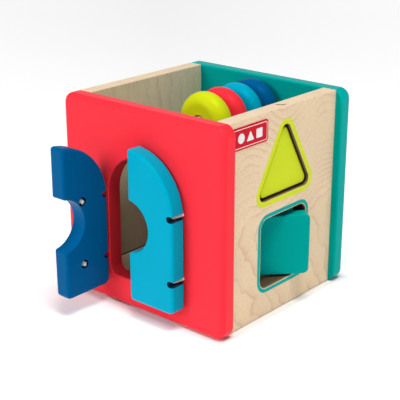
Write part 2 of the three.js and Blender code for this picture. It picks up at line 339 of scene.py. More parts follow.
def tube_mesh(name, path, radius, sides=16):
    """A round tube along path, closed with domed ends, with U along it in its UV map."""
    bm = bmesh.new()
    uv_layer = bm.loops.layers.uv.new("UVMap")
    tangents = []
    for i in range(len(path)):
        tangents.append((path[min(i + 1, len(path) - 1)] - path[max(i - 1, 0)]).normalized())
    normal = tangents[0].orthogonal().normalized()
    stations = []
    length = 0.0
    for i, (point, tangent) in enumerate(zip(path, tangents)):
        if i:
            length += (point - path[i - 1]).length
            turn = tangents[i - 1].rotation_difference(tangent)
            normal = turn @ normal
        stations.append((point, tangent, normal.copy(), radius, length))
    for which, sign in ((0, -1), (-1, 1)):
        point, tangent, across, _, at = stations[which]
        caps = []
        for share in (0.5, 0.85, 0.98):
            size = radius * max(0.2, math.sqrt(1 - share * share))
            place = point + tangent * sign * share * radius
            caps.append((place, tangent, across, size, at + sign * share))
        stations = caps[::-1] + stations if sign < 0 else stations + caps
    rings = []
    for point, tangent, across, size, _ in stations:
        side = tangent.cross(across)
        ring = []
        for k in range(sides):
            angle = 2 * math.pi * k / sides
            offset = across * math.cos(angle) * size + side * math.sin(angle) * size
            ring.append(bm.verts.new((point + offset) * MM))
        rings.append(ring)
    for i in range(len(rings) - 1):
        for k in range(sides):
            m = (k + 1) % sides
            face = bm.faces.new((rings[i][k], rings[i][m], rings[i + 1][m], rings[i + 1][k]))
            ends = ((i, k), (i, k + 1), (i + 1, k + 1), (i + 1, k))
            for loop, (row, column) in zip(face.loops, ends):
                loop[uv_layer].uv = (stations[row][4], column / sides)
    bm.faces.new(rings[0][::-1])
    bm.faces.new(rings[-1])
    mesh = bpy.data.meshes.new(name)
    bm.to_mesh(mesh)
    bm.free()
    return mesh


def show(mesh):
    """An object with this mesh, in the scene."""
    piece = bpy.data.objects.new(mesh.name, mesh)
    bpy.context.scene.collection.objects.link(piece)
    return piece


def settle(piece):
    """Puts a piece's modifiers into its mesh."""
    bpy.context.view_layer.update()
    evaluated = piece.evaluated_get(bpy.context.evaluated_depsgraph_get())
    mesh = bpy.data.meshes.new_from_object(evaluated)
    old = piece.data
    piece.modifiers.clear()
    piece.data = mesh
    name = old.name
    bpy.data.meshes.remove(old)
    mesh.name = name


def cut(piece, cutter_meshes):
    """Takes the cutters out of the piece."""
    cutters = [show(mesh) for mesh in cutter_meshes]
    for cutter in cutters:
        boolean = piece.modifiers.new("cut", "BOOLEAN")
        boolean.operation = "DIFFERENCE"
        boolean.solver = "EXACT"
        boolean.object = cutter
    settle(piece)
    for cutter in cutters:
        mesh = cutter.data
        bpy.data.objects.remove(cutter)
        bpy.data.meshes.remove(mesh)


def smooth(piece, sharp_degrees=35, flat_faces=True):
    """Smooth shading up to an angle; flat_faces keeps the normals of large flat faces flat."""
    bm = bmesh.new()
    bm.from_mesh(piece.data)
    for face in bm.faces:
        face.smooth = True
    for edge in bm.edges:
        angle = edge.calc_face_angle(0.0)
        edge.smooth = angle < math.radians(sharp_degrees)
    bm.to_mesh(piece.data)
    bm.free()
    if flat_faces:
        weighted = piece.modifiers.new("normals", "WEIGHTED_NORMAL")
        weighted.keep_sharp = True
        weighted.weight = 80


def finish(piece, body, nodes, slot, *materials):
    """Puts a finished piece on its body, in place of its CAD nodes."""
    for material in materials:
        piece.data.materials.append(material)
    if body:
        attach(piece, body)
    if nodes:
        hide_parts(*nodes)


# ---------------------------------------------------------------- materials

RED = (1.0, 0.034, 0.053)
TEAL = (0.000, 0.385, 0.350)
CYAN = (0.000, 0.375, 0.550)
BLUE = (0.000, 0.100, 0.275)
LIME = (0.650, 0.750, 0.008)
CRIMSON = (0.620, 0.000, 0.014)
WHITE = (0.86, 0.86, 0.85)

WOOD_LIGHT = (0.830, 0.650, 0.430)
WOOD_PALE = (0.850, 0.680, 0.470)
# The inner faces' wood: the boards' tone made greener, as painted bounce light from the teal and lime
# parts.
WOOD_INSIDE_GREEN_BOUNCE = (0.820, 0.750, 0.500)
# Cut end grain in the shape holes, made darker still as painted shade.
WOOD_CUT_AND_SHADE = (0.230, 0.150, 0.075)
WOOD_LINE = (0.640, 0.370, 0.245)
WOOD_KNOT = (0.11, 0.055, 0.03)
# Painted shade for the wood deep inside the box.
WOOD_PAINTED_SHADE = (0.075, 0.012, 0.007)
# Painted shadow in the gap between the floor panel and a side panel.
WOOD_GAP_SHADOW = (0.02, 0.014, 0.01)
# Painted shade deep in the shape holes' walls.
WOOD_RECESS_SHADE = (0.02, 0.013, 0.008)

ELASTIC_DARK = (0.70, 0.71, 0.72)
ELASTIC_LIGHT = (0.95, 0.95, 0.96)


class Shader:
    """A node material with a Principled shader and a few short ways to add nodes."""

    def __init__(self, name, **constants):
        self.material = bpy.data.materials.new(name)
        self.material.use_nodes = True
        self.tree = self.material.node_tree
        self.tree.nodes.clear()
        output = self.tree.nodes.new("ShaderNodeOutputMaterial")
        self.surface = self.node("ShaderNodeBsdfPrincipled", constants)
        self.tree.links.new(self.surface.outputs[0], output.inputs["Surface"])
        self.position = self.node("ShaderNodeTexCoord").outputs["Object"]

    def node(self, kind, inputs=None, **settings):
        """A new node with its settings and its inputs, each a value or another node's output."""
        made = self.tree.nodes.new(kind)
        for key, value in settings.items():
            setattr(made, key, value)
        for key, value in (inputs or {}).items():
            self.put(made.inputs[key], value)
        return made

    def put(self, socket, value):
        if isinstance(value, bpy.types.NodeSocket):
            self.tree.links.new(value, socket)
        else:
            socket.default_value = value

    def math(self, operation, a, b=0.0, c=None):
        inputs = {0: a, 1: b}
        if c is not None:
            inputs[2] = c
        return self.node("ShaderNodeMath", inputs, operation=operation).outputs[0]

    def scaled(self, scale, place=(0, 0, 0)):
        """The position in millimetres times scale, then moved by place."""
        inputs = {"Vector": self.position, "Location": place, "Scale": [s / MM for s in scale]}
        return self.node("ShaderNodeMapping", inputs).outputs[0]

    def xyz(self):
        """X, Y and Z of the position, in millimetres."""
        return self.node("ShaderNodeSeparateXYZ", {0: self.scaled((1, 1, 1))}).outputs

    def noise(self, vector, detail=2.0, roughness=0.5):
        inputs = {"Vector": vector, "Scale": 1.0, "Detail": detail, "Roughness": roughness}
        return self.node("ShaderNodeTexNoise", inputs).outputs[0]

    def ramp(self, factor, stops):
        """The colour at a factor, from stops of (factor, colour)."""
        made = self.node("ShaderNodeValToRGB", {0: factor})
        elements = made.color_ramp.elements
        while len(elements) < len(stops):
            elements.new(0.5)
        for element, (at, colour) in zip(elements, stops):
            element.position = at
            element.color = (*colour, 1)
        return made.outputs[0]

    def between(self, factor, low, high, to_low, to_high, curve="LINEAR"):
        """From to_low to to_high as the factor goes from low to high."""
        inputs = {"Value": factor, "From Min": low, "From Max": high}
        inputs.update({"To Min": to_low, "To Max": to_high})
        return self.node("ShaderNodeMapRange", inputs, interpolation_type=curve).outputs[0]

    def mix(self, factor, a, b):
        """The colour a share of the way from a to b."""
        made = self.node("ShaderNodeMix", data_type="RGBA")
        self.put(made.inputs[0], factor)
        self.put(made.inputs[6], a if isinstance(a, bpy.types.NodeSocket) else (*a, 1))
        self.put(made.inputs[7], b if isinstance(b, bpy.types.NodeSocket) else (*b, 1))
        return made.outputs[2]

    def bump(self, height, distance, strength=1.0, normal=None):
        inputs = {"Height": height, "Distance": distance * MM, "Strength": strength}
        if normal is not None:
            inputs["Normal"] = normal
        return self.node("ShaderNodeBump", inputs).outputs[0]

    def set(self, socket, value):
        self.put(self.surface.inputs[socket], value)


def shade(colour, amount):
    return tuple(max(0.0, min(1.0, c * amount)) for c in colour)


def paint(name, colour, gloss=0.15, roughness=0.3, spread=0.02):
    """Satin paint on a sanded board: faint clouding, a fine stipple and a trace of the grain."""
    brightest = max(colour)
    tint = [0.1 + 0.9 * c / brightest for c in colour]
    satin = {"Roughness": roughness, "Specular IOR Level": gloss, "Specular Tint": (*tint, 1)}
    s = Shader(name, **satin)
    clouds = s.noise(s.scaled((0.03,) * 3), detail=3.0)
    dark, light = shade(colour, 1 - spread), shade(colour, 1 + spread)
    s.set("Base Color", s.ramp(clouds, [(0.32, dark), (0.68, light)]))
    stipple = s.noise(s.scaled((1.6,) * 3), detail=1.0)
    fibres = s.noise(s.scaled((1.1, 1.1, 0.08)), detail=3.0)
    grain = s.bump(fibres, 0.02, 0.3)
    s.set("Normal", s.bump(stipple, 0.01, 0.3, grain))
    return s.material


def wood(name, rings, fibre_scale, spacing=5.2, strength=0.62, ground=WOOD_LIGHT, wander=16.0,
         mark=None):
    """Bare sanded wood: ring lines where rings(shader) passes whole numbers of spacing.

    The lines wander, and fade to an eighth of their strength in places. Short flecks follow
    fibre_scale, and mark(shader, colour) can draw something on top.
    """
    s = Shader(name, **{"Roughness": 0.56, "Specular IOR Level": 0.2})
    drift = s.noise(s.scaled((0.022,) * 3, place=(5.0, 2.0, 9.0)), detail=3.0, roughness=0.5)
    tremble = s.noise(s.scaled((0.10,) * 3), detail=3.0)
    field = s.math("ADD", rings(s), s.math("MULTIPLY", drift, wander))
    field = s.math("ADD", field, s.math("MULTIPLY", tremble, 3.6))
    phase = s.math("FRACT", s.math("DIVIDE", field, spacing))
    line = s.ramp(phase, [(0.0, (0, 0, 0)), (0.45, (0.05,) * 3), (0.80, (0.34,) * 3),
                          (0.92, (1, 1, 1)), (1.0, (0, 0, 0))])
    fading = s.noise(s.scaled((0.035,) * 3, place=(1.0, 8.0, 4.0)), detail=2.0)
    line = s.math("MULTIPLY", line, s.between(fading, 0.38, 0.60, 0.12 * strength, strength))
    tone = s.noise(s.scaled((0.017,) * 3, place=(7.0, 3.0, 2.0)), detail=2.0)
    board = s.mix(s.between(tone, 0.35, 0.65, 0.0, 1.0), shade(ground, 0.96), shade(ground, 1.03))
    warm = [c * l / g for c, l, g in zip(ground, WOOD_LINE, WOOD_LIGHT)]
    colour = s.mix(line, board, warm)
    flecks = s.noise(s.scaled(fibre_scale, place=(4.0, 4.0, 4.0)), detail=4.0, roughness=0.65)
    colour = s.mix(s.between(flecks, 0.52, 0.72, 0.0, 0.7), colour, warm)
    if mark:
        colour = mark(s, colour)
    s.set("Base Color", colour)
    s.set("Normal", s.bump(flecks, 0.05, 0.35))
    return s.material


def arched_rings(s):
    """Low arches over the middle of the board, and long lines low down that fold at the left."""
    arch_middle, arch_width, arch_height, arch_slant = 2.0, 88.0, 8.5, -0.10
    fold_height, fold_above, fold_below, fold_slant = 63.0, 0.40, -0.19, -0.36
    lower_end, upper_start = 58.0, 110.0
    _, y, z = s.xyz()
    from_middle = s.math("SUBTRACT", y, arch_middle)
    wave = s.math("COSINE", s.math("MULTIPLY", from_middle, 2 * math.pi / arch_width))
    upper = s.math("MULTIPLY_ADD", wave, arch_height, s.math("MULTIPLY_ADD", y, arch_slant, z))
    rise = s.math("SUBTRACT", z, fold_height)
    above = s.math("MULTIPLY", s.math("MAXIMUM", rise, 0.0), fold_above)
    below = s.math("MULTIPLY", s.math("MINIMUM", rise, 0.0), fold_below)
    fold = s.math("ADD", above, below)
    lower = s.math("MULTIPLY_ADD", y, fold_slant, s.math("ADD", fold, lower_end))
    share = s.between(z, lower_end, upper_start, 0.0, 1.0, "SMOOTHSTEP")
    return s.math("MULTIPLY_ADD", share, s.math("SUBTRACT", upper, lower), lower)


def tall_rings(across, offset):
    """Long narrow arches up a board, its width along the across axis."""
    def rings(s):
        position = s.xyz()
        width = s.math("SUBTRACT", position[across], offset)
        bow = s.math("MULTIPLY", s.math("ABSOLUTE", width), 0.85)
        return s.math("ADD", bow, s.math("MULTIPLY", position[Z], 0.16))
    return rings


def edge_rings(s):
    """Nearly straight lines along a board's edge."""
    x, y, _ = s.xyz()
    return s.math("ADD", s.math("MULTIPLY", x, 0.9), s.math("MULTIPLY", y, 0.02))


def crescent_mark(s, colour):
    """The front right rim of a small knot in the right panel's top edge."""
    knot_x, knot_y, knot_radius = 62.5, 2.7, 3.7
    x, y, _ = s.xyz()
    from_x = s.math("SUBTRACT", x, knot_x)
    from_y = s.math("SUBTRACT", y, knot_y)
    squares = [s.math("MULTIPLY", part, part) for part in (from_x, from_y)]
    distance = s.math("SQRT", s.math("ADD", *squares))
    off_rim = s.math("ABSOLUTE", s.math("SUBTRACT", distance, knot_radius))
    rim = s.between(off_rim, 0.6, 1.3, 0.95, 0.0)
    towards = s.math("SUBTRACT", s.math("MULTIPLY", from_x, 0.65), s.math("MULTIPLY", from_y, 0.76))
    front_right = s.between(towards, 1.2, 2.8, 0.0, 1.0)
    return s.mix(s.math("MULTIPLY", rim, front_right), colour, WOOD_KNOT)


def painted_depth_shade(s, colour):
    """Bare wood inside the box, painted with shade: browner and darker from the top opening down."""
    darkest_below, plain_above = 45.0, 118.0
    share = s.between(s.xyz()[Z], darkest_below, plain_above, 0.74, 0.0, "SMOOTHSTEP")
    return s.mix(share, colour, WOOD_PAINTED_SHADE)


def painted_gap_shadow(s, colour):
    """Wood inside the box, with a painted shadow line in the gap where the floor panel meets a side
    panel, over the painted depth shade.
    """
    top = span("floor_panel", Z)[1]
    line = s.between(s.xyz()[Z], top + 0.1, top + 0.5, 0.95, 0.0)
    return s.mix(line, painted_depth_shade(s, colour), WOOD_GAP_SHADOW)


def painted_recess_shade(s, colour):
    """The cut edge of a hole, with painted shade: darker further in from the outer face, least so low
    down.
    """
    x, _, z = s.xyz()
    face = span("right_panel", X)[1]
    depth = s.between(x, face - 2.4, face - 1.2, 0.95, 0.0)
    height = s.between(z, 25.0, 60.0, 0.6, 1.0, "SMOOTHSTEP")
    return s.mix(s.math("MULTIPLY", depth, height), colour, WOOD_RECESS_SHADE)


def elastic(name):
    """Braided elastic: two sets of threads that cross round the cord."""
    threads_around, waves_along = 4, 5.0
    s = Shader(name, **{"Sheen Weight": 0.25, "Specular IOR Level": 0.25})
    uv = s.node("ShaderNodeUVMap", uv_map="UVMap").outputs[0]
    along, around, _ = s.node("ShaderNodeSeparateXYZ", {0: uv}).outputs
    turns = s.math("MULTIPLY", around, threads_around * 2 * math.pi)
    run = s.math("MULTIPLY", along, waves_along)
    one = s.math("SINE", s.math("ADD", run, turns))
    other = s.math("SINE", s.math("SUBTRACT", run, turns))
    weave = s.math("MULTIPLY_ADD", s.math("MAXIMUM", one, other), 0.5, 0.5)
    s.set("Base Color", s.ramp(weave, [(0.3, ELASTIC_DARK), (0.8, ELASTIC_LIGHT)]))
    s.set("Roughness", s.between(weave, 0.0, 1.0, 0.8, 0.6))
    s.set("Normal", s.bump(weave, 0.12, 0.6))
    return s.material


red_paint = paint("red_satin_paint", RED)
teal_paint = paint("teal_satin_paint", TEAL, gloss=0.05)
cyan_paint = paint("cyan_satin_paint", CYAN, gloss=0.05)
blue_paint = paint("blue_satin_paint", BLUE, gloss=0.05)
lime_paint = paint("lime_satin_paint", LIME)
# A darker copy of the red paint, as painted shade on the doorway's wall.
painted_shade_red = paint("red_paint_painted_shade_doorway", shade(RED, 0.55), gloss=0.05)
# Dark copies of the door paints, as painted shade inside the doors' cord slots, channels and knot
# holes.
painted_shade_cyan = paint("cyan_paint_painted_shade_in_cuts", shade(CYAN, 0.15))
painted_shade_blue = paint("blue_paint_painted_shade_in_cuts", shade(BLUE, 0.15))
label_red = paint("label_crimson", CRIMSON, roughness=0.34)
label_white = paint("label_white", WHITE, spread=0.01, roughness=0.34)

right_face_wood = wood("right_panel_wood", arched_rings, (0.30, 0.35, 1.6), spacing=5.8,
                       strength=0.66)
left_face_wood = wood("left_panel_wood", tall_rings(Y, -14.0), (1.1, 1.1, 0.14), spacing=8.0)
# The inner faces and the floor carry painted bounce light and painted shade.
inside_wood_painted_light = wood("inner_face_wood_painted_light", tall_rings(Y, -30.0), (1.1, 1.1, 0.14), spacing=11.0,
                   strength=0.4, ground=WOOD_INSIDE_GREEN_BOUNCE, wander=30.0, mark=painted_gap_shadow)
floor_wood_painted_light = wood("floor_panel_wood_painted_light", edge_rings, (1.1, 0.12, 0.5), ground=WOOD_INSIDE_GREEN_BOUNCE,
                  mark=painted_depth_shade)
cut_wood_and_shade = wood("cut_edge_wood_and_painted_shade", edge_rings, (1.1, 0.8, 0.8), strength=0.3, ground=WOOD_CUT_AND_SHADE,
                mark=painted_recess_shade)
edge_wood = wood("board_edge_wood", edge_rings, (1.3, 0.1, 1.3), spacing=3.4, strength=0.3,
                 ground=WOOD_PALE, mark=crescent_mark)
dowel_wood = wood("dowel_wood", edge_rings, (1.2, 0.08, 1.2), spacing=2.6, strength=0.3,
                  ground=WOOD_PALE)
cord_elastic = elastic("grey_elastic")


# ---------------------------------------------------------------- painted panels

def front_panel():
    """The red board, with the doorway's wall in painted shade: a darker copy of its paint."""
    x_low, x_high = span("front_panel", X)
    y_low, y_high = span("front_panel", Y)
    z_low, z_high = span("front_panel", Z)
    edge = rectangle(x_low, x_high, z_low, z_high, PAINTED_CORNER, OUTER_FILLET, INNER_FILLET)
    arch_centre = (0.0, DOORWAY_TOP - DOORWAY_HALF)
    low_corner = DOORWAY_BOTTOM + DOORWAY_CORNER
    side = DOORWAY_HALF - DOORWAY_CORNER
    doorway = arc((-side, low_corner), DOORWAY_CORNER, 180, 270, DOORWAY_FILLET)
    doorway += arc((side, low_corner), DOORWAY_CORNER, 270, 360, DOORWAY_FILLET)
    doorway += arc(arch_centre, DOORWAY_HALF, 0, 180, DOORWAY_FILLET)
    loops = [edge, as_hole(doorway)]
    piece = show(plate_mesh("red_front_panel", loops, -y_high, -y_low, FACING["-Y"]))
    cutters = []
    inward, past = (0, 1, 0), 1.0
    through = y_high - y_low + 2 * past
    for x in (-PANEL_HOLE_X, PANEL_HOLE_X):
        for z in [height + PANEL_HOLE_RISE for height in HINGE_HEIGHTS]:
            cutters.append(rod("cord_hole", (x, y_low - past, z), inward, through, CORD_HOLE_RADIUS))
            pocket = (x, y_high - PANEL_POCKET_DEPTH, z)
            depth = PANEL_POCKET_DEPTH + past
            cutters.append(rod("pocket", pocket, inward, depth, KNOT_HOLE_RADIUS))
    cut(piece, cutters)
    smooth(piece)
    finish(piece, "box", ["front_panel"], "red_paint", red_paint, painted_shade_red)
    # The doorway's wall gets the darker copy of the paint, as painted shade.
    for polygon in piece.data.polygons:
        across, height = abs(polygon.center.x) / MM, polygon.center.z / MM
        inside = across < DOORWAY_HALF + 0.5 and DOORWAY_BOTTOM - 0.5 < height < DOORWAY_TOP + 0.5
        if inside and abs(polygon.normal.y) < 0.6:
            polygon.material_index = 1


def rear_panel():
    x_low, x_high = span("rear_panel", X)
    y_low, y_high = span("rear_panel", Y)
    z_low, z_high = span("rear_panel", Z)
    edge = rectangle(x_low, x_high, z_low, z_high, PAINTED_CORNER, OUTER_FILLET, INNER_FILLET)
    piece = show(plate_mesh("teal_rear_panel", [edge], y_low, y_high, FACING["+Y"]))
    smooth(piece)
    finish(piece, "box", ["rear_panel"], "teal_paint", teal_paint)


# ---------------------------------------------------------------- wooden panels

def sort_faces(piece):
    """Gives a side panel's faces their wood: outer face, board edges, inner face, cut holes (darker,
    partly as painted shade).
    """
    margin = 5.0 * MM
    depths = [vertex.co.y for vertex in piece.data.vertices]
    low, high = min(depths), max(depths)
    top = max(vertex.co.z for vertex in piece.data.vertices)
    for polygon in piece.data.polygons:
        normal, centre = polygon.normal, polygon.center
        inside = low + margin < centre.y < high - margin and margin < centre.z < top - margin
        if abs(normal.x) < 0.7:
            polygon.material_index = 3 if inside else 1
        elif normal.x * centre.x < 0:
            polygon.material_index = 2


def square_hole(fillet):
    half, bottom = SQUARE_HOLE_HALF, SQUARE_HOLE_BOTTOM
    return rectangle(HOLE_Y - half, HOLE_Y + half, bottom, bottom + 2 * half, 7.0, fillet)


def triangle_hole(fillet):
    sizes = (TRIANGLE_HOLE_HALF, TRIANGLE_HOLE_BOTTOM, TRIANGLE_HOLE_HEIGHT)
    return triangle(HOLE_Y, *sizes, 5.0, fillet)


def side_panels():
    """Two bare boards; the right one has the shape holes."""
    for node, facing, holes in (
        ("left_panel", "-X", []),
        ("right_panel", "+X", [square_hole(0.55), triangle_hole(0.35)]),
    ):
        y_low, y_high = span(node, Y)
        z_low, z_high = span(node, Z)
        x_span = sorted(abs(x) for x in span(node, X))
        edge = rectangle(y_low, y_high, z_low, z_high, 0.8, WOOD_FILLET)
        loops = [edge] + [as_hole(hole) for hole in holes]
        piece = show(plate_mesh("wooden_" + node, loops, *x_span, FACING[facing], steps=4))
        smooth(piece)
        face_wood = right_face_wood if holes else left_face_wood
        finish(piece, "box", [node], "bare_wood", face_wood, edge_wood, inside_wood_painted_light, cut_wood_and_shade)
        sort_faces(piece)


def floor_panel():
    x_low, x_high = span("floor_panel", X)
    y_low, y_high = span("floor_panel", Y)
    edge = rectangle(x_low, x_high, y_low, y_high, 0.8, WOOD_FILLET)
    z_span = span("floor_panel", Z)
    piece = show(plate_mesh("wooden_floor_panel", [edge], *z_span, FACING["+Z"], steps=4))
    smooth(piece)
    finish(piece, "box", ["floor_panel"], "bare_wood", floor_wood_painted_light)


def printed_border(name, hole, inner, outer, slot, material):
    """A thin plate on the right panel's outer face, from inner to outer past a hole's edge."""
    face = span("right_panel", X)[1]
    loops = [grown(hole, outer, 0.05), as_hole(grown(hole, inner, 0.05))]
    piece = show(plate_mesh(name, loops, face - 0.1, face + 0.1, FACING["+X"], steps=2))
    smooth(piece)
    finish(piece, "box", [], slot, material)


def borders():
    """The painted lines round the shape holes, each from just past its hole's rounded edge."""
    printed_border("lime_triangle_border", triangle_hole(0), 0.35, 3.9, "lime_paint", lime_paint)
    printed_border("teal_square_border", square_hole(0), 0.75, 3.45, "teal_paint", teal_paint)


def label():
    """A sticker with a pale frame line and three plain shapes."""
    face = span("right_panel", X)[1]
    top = span("label", X)[1]
    y_low, y_high = span("label", Y)
    z_low, z_high = span("label", Z)
    edge = rectangle(y_low, y_high, z_low, z_high, 2.5, 0.2, 0.05)
    piece = show(plate_mesh("red_label", [edge], face, top, FACING["+X"], steps=3))
    smooth(piece)
    finish(piece, "box", ["label"], "label_film", label_red)
    fillet = 0.02
    frame_line = []
    for inset, corner in ((1.3, 1.6), (1.75, 1.2)):
        sides = (y_low + inset, y_high - inset, z_low + inset, z_high - inset)
        frame_line.append(rectangle(*sides, corner, fillet))
    middle_y, middle_z = (y_low + y_high) / 2, (z_low + z_high) / 2
    square = (middle_y + 6.3, middle_y + 12.7, middle_z - 3.2, middle_z + 3.2)
    marks = {
        "label_outline": [frame_line[0], as_hole(frame_line[1])],
        "label_round_mark": [circle((middle_y - 9.5, middle_z), 3.4, fillet)],
        "label_triangle_mark": [triangle(middle_y, 4.0, middle_z - 3.3, 6.8, 0.6, fillet)],
        "label_square_mark": [rectangle(*square, 0.6, fillet)],
    }
    for name, loops in marks.items():
        mark = show(plate_mesh(name, loops, top - 0.05, top + 0.06, FACING["+X"], steps=2))
        smooth(mark)
        finish(mark, "box", [], "label_film", label_white)


# ---------------------------------------------------------------- doors and their cords

def door_outline():
    """The leaf's edge, with its hinge axis at u = 0 and its free edge on the right."""
    hinge_corner, free_corner, notch_corner, top_corner = 4.5, 3.5, 2.0, 2.2
    notch_corner_fillet = 1.9
    across = NOTCH_CENTRE[0] - DOOR_FREE_EDGE + notch_corner
    drop = math.sqrt((NOTCH_RADIUS + notch_corner) ** 2 - across ** 2)
    lean = math.degrees(math.atan2(drop, across))
    lower, upper = NOTCH_CENTRE[1] - drop, NOTCH_CENTRE[1] + drop
    inside = DOOR_FREE_EDGE - top_corner - ARCH_CENTRE[0]
    rise = math.sqrt((ARCH_RADIUS - top_corner) ** 2 - inside ** 2)
    arch_start = math.degrees(math.atan2(rise, inside))
    outline = arc((DOOR_HINGE_EDGE + hinge_corner, DOOR_BOTTOM + hinge_corner), hinge_corner,
                  180, 270, DOOR_FILLET)
    outline += arc((DOOR_FREE_EDGE - free_corner, DOOR_BOTTOM + free_corner), free_corner,
                   270, 360, DOOR_FILLET)
    outline += arc((DOOR_FREE_EDGE - notch_corner, lower), notch_corner, 0, lean,
                   notch_corner_fillet, front_end=NOTCH_FILLET)
    outline += arc(NOTCH_CENTRE, NOTCH_RADIUS, 180 + lean, 180 - lean, NOTCH_FILLET)
    outline += arc((DOOR_FREE_EDGE - notch_corner, upper), notch_corner, -lean, 0,
                   NOTCH_FILLET, front_end=notch_corner_fillet)
    outline += arc((DOOR_FREE_EDGE - top_corner, ARCH_CENTRE[1] + rise), top_corner,
                   0, arch_start, DOOR_FILLET)
    outline += arc(ARCH_CENTRE, ARCH_RADIUS, arch_start, 180, DOOR_FILLET)
    return outline


def mirrored(outline):
    """The outline with left and right swapped, still counterclockwise."""
    return [(-u, v, front, back) for u, v, front, back in outline[::-1]]


def in_slot_or_hole(along, depth, height):
    """Whether a place on a door is on the wall of a cord slot, a channel or a knot hole."""
    for z in HINGE_HEIGHTS:
        from_middle = abs(height - z)
        if along < SLOT_END + 0.1 and from_middle < SLOT_HALF_HEIGHT + 0.02:
            return True
        if math.hypot(depth, from_middle) < CORD_HOLE_RADIUS + 0.1:
            return True
        from_knot = math.hypot(along - KNOT_FROM_AXIS, from_middle)
        if from_knot < KNOT_HOLE_RADIUS + 0.05 and abs(depth) < DOOR_HALF_THICKNESS - 0.1:
            return True
    return False


def door_cutters(side, place):
    """The cord slots in the hinge edge, the knot holes, and the channels between them."""
    half, past = DOOR_HALF_THICKNESS, 2.0
    along = place.to_3x3() @ Vector((side, 0, 0))
    to_inner_face = place.to_3x3() @ Vector((0, 1, 0))
    cutters = []
    for z in HINGE_HEIGHTS:
        slot = rectangle(-12.0, SLOT_END, z - SLOT_HALF_HEIGHT, z + SLOT_HALF_HEIGHT, 2.2, 0.0)
        if side < 0:
            slot = mirrored(slot)
        local = place @ FACING["-Y"]
        cutters.append(plate_mesh("slot", [slot], -half - past, half + past, local, steps=1))
        bottom = place @ Vector((side * KNOT_FROM_AXIS, half - KNOT_HOLE_DEPTH, z))
        depth = KNOT_HOLE_DEPTH + past
        cutters.append(rod("knot_hole", bottom, to_inner_face, depth, KNOT_HOLE_RADIUS, 48))
        start = place @ Vector((0, 0, z))
        cutters.append(rod("channel", start, along, KNOT_FROM_AXIS, CORD_HOLE_RADIUS))
    return cutters


def door(hand, side, place, slot, material, shaded):
    """A door made closed, its inner face to the panel, and put on its hinge by place. Its cord slots,
    channels and knot holes get a dark copy of its paint as painted shade.
    """
    outline = door_outline()
    if side < 0:
        outline = mirrored(outline)
    half = DOOR_HALF_THICKNESS
    piece = show(plate_mesh(hand + "_door_leaf", [outline], -half, half, place @ FACING["-Y"]))
    cut(piece, door_cutters(side, place))
    smooth(piece)
    finish(piece, hand + "_door", [hand + "_door"], slot, material, shaded)
    back = place.inverted()
    # The walls of the slots, channels and knot holes get the painted shade.
    for polygon in piece.data.polygons:
        centre = back @ (polygon.center / MM)
        if in_slot_or_hole(side * centre.x, centre.y, centre.z):
            polygon.material_index = 1


# An overhand knot, as (along the cord, to its side, up).
KNOT_SHAPE = (
    (0.0, 0.0, 0.0), (0.9, 0.75, 0.25), (1.9, 0.9, 1.05), (2.5, -0.2, 1.35), (1.9, -1.15, 0.6),
    (0.8, -1.0, -0.6), (0.6, 0.15, -1.25), (1.6, 1.05, -0.7), (2.5, 0.5, 0.15), (3.0, -0.6, -0.4),
    (3.2, -1.3, -1.0),
)
KNOT_MIDDLE = 1.6


def knot(middle, along, up, turned=1):
    """The path of a small overhand knot that goes on along a direction."""
    side = along.cross(up) * turned
    return [middle + along * (a - KNOT_MIDDLE) + side * b + up * c for a, b, c in KNOT_SHAPE]


def cord(hand, level, z, place, side):
    """One elastic from its knot behind the front panel, round the hinge, to its knot in the door."""
    axis = Vector((HINGE_X[hand], HINGE_Y, z - CORD_SAG))
    mouth = Vector((-side * PANEL_HOLE_X, span("front_panel", Y)[0], z + PANEL_HOLE_RISE - 0.1))
    inward = Vector((0, 1, 0))
    up = Vector((0, 0, 1))
    slant = (axis - mouth).normalized()
    along = place.to_3x3() @ Vector((side, 0, 0))
    to_inner_face = place.to_3x3() @ inward
    panel_knot = mouth + inward * 9.0
    door_knot = axis + along * (KNOT_FROM_AXIS - 1.4) + to_inner_face * KNOT_RISE
    bend = 1.4
    path = knot(panel_knot, inward, up)[::-1]
    path += [mouth + inward * d for d in (6.0, 3.5, 1.2)]
    path += [mouth + slant * d for d in (1.2, 3.0)]
    for t in (0.0, 0.2, 0.4, 0.6, 0.8, 1.0):
        path.append(axis - slant * bend * (1 - t) ** 2 + along * bend * t ** 2)
    path += [axis + along * d for d in (5.0, 9.0, 13.0)]
    path.append(axis + along * (KNOT_FROM_AXIS - 2.6) + to_inner_face * 0.8)
    path += knot(door_knot, along, up, -1)
    piece = show(tube_mesh(f"{hand}_{level}_elastic", smooth_path(path), CORD_RADIUS))
    smooth(piece, 80, flat_faces=False)
    nodes = [f"{hand}_{level}_cord_panel_end", f"{hand}_{level}_cord_door_end"]
    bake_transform(piece)
    finish(piece, None, nodes, "elastic_cord", cord_elastic)


def doors():
    """The left door stands open by a quarter turn, and the right door is closed."""
    for hand, side, rest_degrees, *looks in (
        ("left", 1, -90, "blue_paint", blue_paint, painted_shade_blue),
        ("right", -1, 0, "cyan_paint", cyan_paint, painted_shade_cyan),
    ):
        swing = Matrix.Rotation(math.radians(rest_degrees), 4, "Z")
        place = Matrix.Translation((HINGE_X[hand], HINGE_Y, 0)) @ swing
        door(hand, side, place, *looks)
        for level, z in zip(("upper", "lower"), HINGE_HEIGHTS):
            cord(hand, level, z, place, side)


# ---------------------------------------------------------------- discs, dowel and blocks

